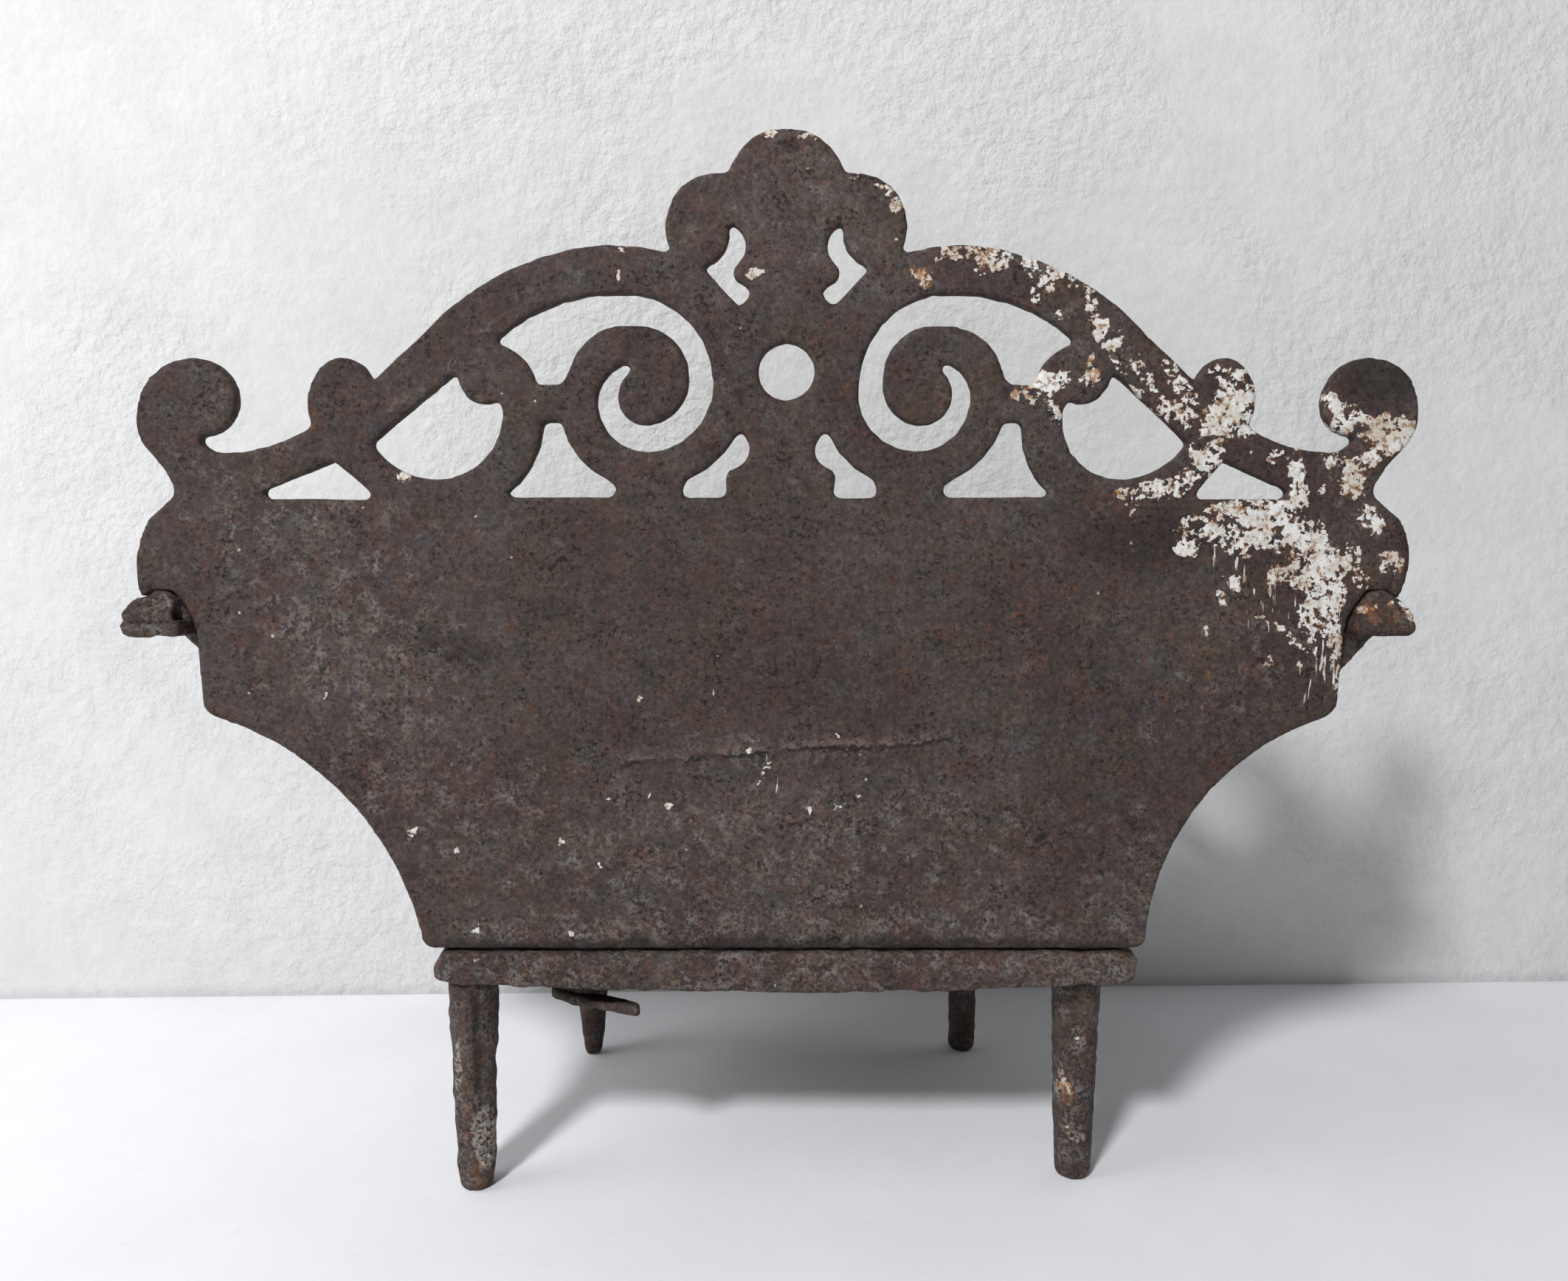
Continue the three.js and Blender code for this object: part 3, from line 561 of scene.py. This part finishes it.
def with_paint(s, colour, height, roughness, fine):
    """What is left of cream paint: ragged flakes with stained edges, brown iron round them, and thin runs below."""
    cover = paint_cover(s)
    shown = s.step(s.weight("paint"), 0.0, 0.2)
    runs = s.step(s.plus(s.noise(1.9, 2, 0.5, 7.0), s.times(s.weight("drips"), 0.16)), 0.74, 0.77)
    runs = s.times(runs, s.step(s.weight("drips"), 0.2, 0.6))

    stained = s.noise(4.2, 5, 0.65)
    golden = s.step(s.weight("rust"), 0.66, 0.8)
    near = s.times(s.step(cover, 0.2, 0.46), s.step(stained, 0.42, 0.56))
    near = s.times(near, s.step(s.weight("rust"), 0.0, 0.8, 0.7, 1.0))
    stain = s.blend(golden, coat(116, 78, 50), coat(154, 102, 48))
    colour = s.blend(s.times(near, shown), colour, stain)

    cream = s.blend(s.step(s.noise(6, 5, 0.65), 0.44, 0.62), coat(247, 247, 244), coat(226, 218, 206))
    cream = s.blend(s.step(s.weight("rust"), 0.45, 0.66, 0.0, 0.75), cream, coat(214, 201, 184))
    edge = s.times(s.step(cover, 0.78, 0.5), s.step(stained, 0.44, 0.6))
    cream = s.blend(s.times(edge, 0.8), cream, coat(172, 136, 104))
    worn = s.plus(s.noise(3.0, 4, 0.65), s.times(s.weight("rust"), 0.07))
    worn = s.plus(worn, s.times(golden, 0.04))
    brown = s.blend(golden, coat(158, 114, 74), coat(172, 116, 54))
    cream = s.blend(s.step(worn, 0.565, 0.62, 0.0, 0.8), cream, brown)
    cream = s.brighten(cream, s.step(fine, 0.2, 0.8, 0.88, 1.1))

    paint = s.math("MAXIMUM", s.times(s.step(cover, 0.48, 0.51), shown), runs)
    height = s.plus(s.times(height, s.step(paint, 0, 1, 1.0, 0.4)), s.times(paint, 0.9))
    return s.blend(paint, colour, cream), height, s.times(roughness, s.step(paint, 0, 1, 1.0, 0.78))


def rusty_iron(name, dark, light, crust_share, rust_share, painted=True, torn=False):
    """Old cast iron: clouded brown skin, rust, scale, pits, the broken edge if torn, and paint if painted."""
    s = Surface(name)
    grain = s.noise(2.4, 5, 0.65)
    fine = s.noise(0.9, 3, 0.6)
    colour = bare_iron(s, dark, light, grain, fine)
    colour = with_rust(s, colour, fine, rust_share)
    colour, scale = with_scale(s, colour, crust_share)
    colour, pits = with_pits(s, colour)
    # The shade weight darkens the colour and, below 0, lightens it: darker patches of the iron, painted shade in
    # grooves, gaps, hollows and under ledges, and painted light on the plate's crest.
    colour = s.brighten(colour, s.step(s.weight("shade"), -1.0, 1.0, 1.58, 0.42))

    height = s.plus(grain, s.times(fine, 0.45))
    height = s.minus(height, s.times(pits, 0.7))
    height = s.plus(height, s.times(scale, 0.3))
    roughness = s.step(grain, 0.3, 0.7, 0.7, 0.92)
    if torn:
        colour, height = with_tear(s, colour, height)
    if painted:
        colour, height, roughness = with_paint(s, colour, height, roughness, fine)
    return s.finish(colour, roughness, height, 0.45, 0.3)


PAINTED = rusty_iron("painted_cast_iron", iron(80, 66, 64), iron(92, 81, 77), 0.0, 0.0, torn=True)
CAST = rusty_iron("rusty_cast_iron", iron(76, 62, 58), iron(94, 80, 75), 0.05, 0.02)
WROUGHT = rusty_iron("rusty_wrought_iron", iron(70, 58, 55), iron(88, 76, 70), 0.02, 0.03, painted=False)


# ---------------------------------------------------------------- the pieces

def marks_of(paint=(), rust=(), crust=(), shade=(), worn=0.25, crusty=0.3):
    """Weights from lists of patches on the rear side, over an uneven base of crust and worn rust."""
    def marks(points, normals):
        rear = ease(normals[:, 1], 0.35, -0.1)
        uneven = np.clip(crusty + 0.35 * bumps(points, 19, 91) + 0.25 * bumps(points, 8, 92), 0, 1)
        return {
            "paint": patches(points, paint, 1.0) * rear,
            "rust": np.maximum(patches(points, rust, 1.5) * rear, worn * (0.6 + 0.6 * bumps(points, 23, 93))),
            "crust": np.maximum(patches(points, crust, 1.5) * rear, uneven),
            # painted shade: these patches darken grooves, hollows and places under ledges
            "shade": patches(points, shade, 0.6) * rear,
        }
    return marks


def skin(seed, broad, middle, small, pits, blisters, proud=0.1):
    """A relief that is only rough, and stands proud of the softened shape by that much."""
    return lambda points, normals: rough(points, seed, broad, middle, small, pits, blisters) + proud


def rim_relief(points, normals):
    """The bed's rear rim is rougher than the rest of the bed, with chipped edges."""
    rear = ease(points[:, 1], 14, 4)
    chips = 0.9 * np.minimum(0, bumps(points, 15, 26) + 0.35 * bumps(points, 6, 27) + 0.25)
    edge = ease(np.abs(normals[:, 1]), 0.95, 0.7)
    return rough(points, 20, 0.35, 0.4, 0.3, 0.5, 0.5) * (0.7 + 0.5 * rear) + rear * edge * chips + 0.15


LIP_TOP = 263.6  # height of the groove in the left arm's end
LEG_GROOVE_X = -139.6  # and where the groove runs down the left rear leg


def left_cheek_relief(points, normals):
    """The left arm's end: a groove parts a block above from a lip below, and the block's inner end is hollow."""
    x, y, z = points.T
    arm_end = ease(y, 6, 2) * ease(x, -257, -262)
    height = z - LIP_TOP + 0.35 * bumps(points, 9, 86)
    groove = 1.3 * ease(np.abs(height), 1.1, 0.2) + 0.5 * ease(height, 0.2, -0.4)
    groove = groove * ease(normals[:, 1], -0.35, -0.75)
    hollow = 4.2 * ease(x, -268.6, -266.8) * ease(height, 0.2, 1.4) * ease(y, 4, 1)
    proud = ease(x, -276, -280) * ease(y, 0, -1.5) * (0.7 + 0.9 * ease(height, 0.8, 3))
    return rough(points, 80, 0.25, 0.4, 0.3, 0.5, 0.4) + 0.3 - arm_end * (groove + hollow) + proud


def left_leg_relief(points, normals):
    """The left rear leg has a groove down its face."""
    beside = np.abs(points[:, 0] - LEG_GROOVE_X + 0.8 * bumps(points, 14, 64))
    groove = ease(beside, 2.4, 0.4) * ease(points[:, 2], 40, 52)
    return rough(points, 60, 0.45, 0.5, 0.35, 0.6, 0.6) - 1.3 * groove * (normals[:, 1] < -0.2) + 0.15


RIM_MARKS = marks_of(
    crusty=0.45, worn=0.35,
    paint=[(-139, 112, 2, 1.2, 0.7, 0)],
    rust=[(-150, 107, 8, 6, 0.5, 0), (-60, 108, 16, 5, 0.4, 0), (60, 107, 14, 5, 0.4, 0)])
LEFT_LEG_MARKS = marks_of(
    crusty=0.5, worn=0.4,
    paint=[(-138, 14, 2.5, 3.5, 0.42, 0)],
    rust=[(-141, 8, 8, 8, 0.9, 0), (-147, 42, 3, 8, 0.9, 0), (-147, 24, 3, 9, 0.8, 0)],
    crust=[(-138, 27, 6, 15, 1.7, 0), (-149, 60, 2.6, 14, 1.6, 0), (-138, 14, 4, 5, 1.6, 0),
           (-138, 78, 3, 9, 1.0, 0)],
    # painted shade: the groove down the leg is painted dark, with a fainter darker patch beside it near the top
    shade=[(LEG_GROOVE_X, 75, 1.6, 28, 0.9, 0), (-136, 88, 3, 12, 0.35, 0)])
RIGHT_LEG_MARKS = marks_of(
    crusty=0.45, worn=0.3,
    paint=[(130, 46, 2.8, 5, 0.5, 20), (135, 69, 2, 2, 0.4, 0), (131.5, 25, 1.2, 3, 0.4, 0),
           (137, 22, 1.6, 2.4, 0.42, 0)],
    rust=[(131, 44, 4.5, 7, 1.1, 0), (137, 60, 4, 10, 0.4, 0)],
    crust=[(134, 30, 7, 14, 0.7, 0), (136, 70, 5, 8, 1.1, 0), (128, 48, 2, 12, 1.3, 0), (135, 22, 6, 3.5, 1.3, 0)],
    # painted shade: the top of the leg is darkened under the bed's rim
    shade=[(135, 96, 14, 3.5, 0.6, 0)])
RIGHT_CHEEK_MARKS = marks_of(
    crusty=0.25, worn=0.4,
    paint=[(272, 268.5, 5, 1.8, 0.72, -52), (266, 271.5, 2, 1.3, 0.6, 0), (253.5, 269, 1.6, 1.6, 0.66, 40),
           (258, 270, 1.3, 1.5, 0.6, -40)],
    rust=[(260, 268, 9, 7, 0.95, 0), (254, 262, 6, 5, 0.6, 0)],
    # painted shade: the lower edge of the arm's end is darkened
    shade=[(262, 258.5, 14, 1.6, 0.6, 0)])
LEFT_CHEEK_MARKS = marks_of(
    crusty=0.4, worn=0.25,
    crust=[(-276, 270, 9, 4, 0.7, 0)],
    # painted shade: the groove of the arm's end and the hollow of its block are painted dark
    shade=[(-272, 263.4, 16, 0.9, 0.7, 2), (-262.5, 270.3, 3.6, 4.0, 0.95, 0)])
PLAIN = marks_of()
HARDWARE = marks_of(worn=0.5, crusty=0.1)
PLATE_MOST = 190000  # triangles
CHEEK_MOST = 90000

casting("back_plate", "back_plate", PAINTED, 1.35, 2, plate_relief, plate_marks, PLATE_MOST)
casting("base_frame", "frame", CAST, 1.5, 2, rim_relief, RIM_MARKS)
casting("bottom_grate", "bottom_grate", CAST, 1.5, 2, skin(40, 0.3, 0.25, 0.18, 0.4, 0.3), PLAIN)
casting("back_left_leg", "frame", CAST, 1.0, 3, left_leg_relief, LEFT_LEG_MARKS)
casting("back_right_leg", "frame", CAST, 1.0, 3, skin(61, 0.45, 0.45, 0.35, 0.5, 0.5), RIGHT_LEG_MARKS)
for number, node in enumerate(("front_left_leg", "front_right_leg")):
    casting(node, "frame", CAST, 1.1, 3, skin(62 + number, 0.4, 0.4, 0.3, 0.4, 0.4), PLAIN)
casting("left_cheek", "frame", CAST, 1.0, 1, left_cheek_relief, LEFT_CHEEK_MARKS, CHEEK_MOST)
casting("right_cheek", "frame", CAST, 1.0, 2,
        skin(81, 0.3, 0.35, 0.25, 0.5, 0.4, 0.25), RIGHT_CHEEK_MARKS, CHEEK_MOST)
for number in range(1, 7):
    casting(f"front_bar_{number}", "frame", WROUGHT, 1.3, 3,
            skin(100 + number, 0.3, 0.22, 0.14, 0.3, 0.2), PLAIN)
casting("catch_lever", "catch", CAST, 0.9, 3, skin(120, 0.3, 0.4, 0.25, 0.3, 0.4), PLAIN)
casting("catch_rivet", "frame", WROUGHT, 0.8, 3, skin(125, 0.1, 0.12, 0.1, 0.1, 0.1, 0.0), HARDWARE)
for number, (side, end, kind) in enumerate(itertools.product(("left", "right"), ("back", "front"), ("bolt", "nut"))):
    casting(f"{side}_cheek_{end}_{kind}", "frame", WROUGHT, 0.7, 2,
            skin(140 + number, 0.08, 0.1, 0.08, 0.1, 0.1, 0.0), HARDWARE)


# ---------------------------------------------------------------- floor, wall, lights and camera

def plaster_shade(s, uneven):
    """How light a plaster surface is from place to place."""
    clouds = s.step(s.noise(90, 6, 0.6), 0.35, 0.65, 0.985, 1.015)
    return s.times(clouds, s.step(uneven, 0.4, 0.3, 1.0, 0.965))


def wall_shade(s, uneven, shade):
    """Adds specks of grime, blotches, and a darker band along the wall's foot."""
    shade = s.times(shade, s.step(s.specks(24, 0.07, 0.5), 0.0, 1.0, 1.0, 0.93))
    shade = s.times(shade, s.step(s.noise(42, 9, 0.8), 0.3, 0.7, 0.95, 1.04))
    split = s.node("ShaderNodeSeparateXYZ")
    s.put(split.inputs[0], s.place)
    over_floor = s.plus(split.outputs[2], s.times(uneven, -12 * MM))
    return s.times(shade, s.step(over_floor, -6 * MM, 4 * MM, 0.84, 1.0))


def clear_from_behind(s):
    """Lets a view from behind the wall pass through it."""
    surface = s.tree.nodes["Material Output"].inputs["Surface"]
    choose = s.node("ShaderNodeMixShader")
    s.put(choose.inputs[0], s.node("ShaderNodeNewGeometry").outputs["Backfacing"])
    s.put(choose.inputs[1], surface.links[0].from_socket)
    s.put(choose.inputs[2], s.node("ShaderNodeBsdfTransparent").outputs[0])
    s.put(surface, choose.outputs[0])


def board(name, corners, colour, relief, wall=False):
    """A flat board of the stage, in uneven plaster whose bumps are relief millimetres deep."""
    mesh = bpy.data.meshes.new(name)
    mesh.from_pydata([at(*c) for c in corners], [], [(0, 1, 2, 3)])
    made = bpy.data.objects.new(name, mesh)
    bpy.context.scene.collection.objects.link(made)
    s = Surface(name)
    uneven = s.noise(9, 6, 0.6)
    shade = plaster_shade(s, uneven)
    if wall:
        shade = wall_shade(s, uneven, shade)
        uneven = s.times(uneven, s.step(s.noise(190, 3), 0.38, 0.62, 0.45, 1.35))
    material = s.finish(s.brighten(colour[:3], shade), 0.9, uneven, relief, 0.5)
    if wall:
        clear_from_behind(s)
    mesh.materials.append(material)


WALL_Y = 269.5
WALL_TURN = 0.0325  # the wall runs away this much to the right
FAR = 3500
FLOOR_BUMPS = 0.05
WALL_BUMPS = 2.6
board("floor", [(-FAR, -FAR, 0), (FAR, -FAR, 0), (FAR, FAR, 0), (-FAR, FAR, 0)], rgb(238, 239, 243), FLOOR_BUMPS)
left_y, right_y = WALL_Y - WALL_TURN * FAR, WALL_Y + WALL_TURN * FAR
board("wall", [(-FAR, left_y, -1), (FAR, right_y, -1), (FAR, right_y, FAR), (-FAR, left_y, FAR)],
      rgb(218, 218, 218), WALL_BUMPS, wall=True)

scene = bpy.context.scene
scene.view_settings.view_transform = "Standard"
world = bpy.data.worlds.new("room")
world.use_nodes = True
room = world.node_tree.nodes["Background"]
room.inputs["Color"].default_value = (0.97, 0.98, 1.0, 1.0)
room.inputs["Strength"].default_value = 0.12
scene.world = world


def lamp(name, place, target, size, watts):
    """A round soft light, size millimetres across, that points from place to target."""
    data = bpy.data.lights.new(name, "AREA")
    data.shape = "DISK"
    data.size = size * MM
    data.energy = watts
    made = bpy.data.objects.new(name, data)
    scene.collection.objects.link(made)
    made.location = at(*place)
    aim = np.array(at(*target)) - np.array(at(*place))
    down = math.acos(-aim[2] / np.linalg.norm(aim))
    made.rotation_euler = (down, 0, math.atan2(aim[1], aim[0]) - math.pi / 2)


lamp("key", (-740, -1750, 1760), (0, 100, 200), 340, 50)
lamp("window", (-1700, -450, 1500), (-300, 250, 400), 1300, 14)

EYE = (-0.5, -565.2, 299.9)
LOOKS_DOWN = 4.53  # degrees
camera_data = bpy.data.cameras.new("camera")
camera_data.sensor_width = 36
camera_data.lens = 29.48
camera_data.clip_start = 0.01
camera = bpy.data.objects.new("camera", camera_data)
scene.collection.objects.link(camera)
camera.location = at(*EYE)
camera.rotation_euler = (math.radians(90 - LOOKS_DOWN), 0, 0)
scene.camera = camera
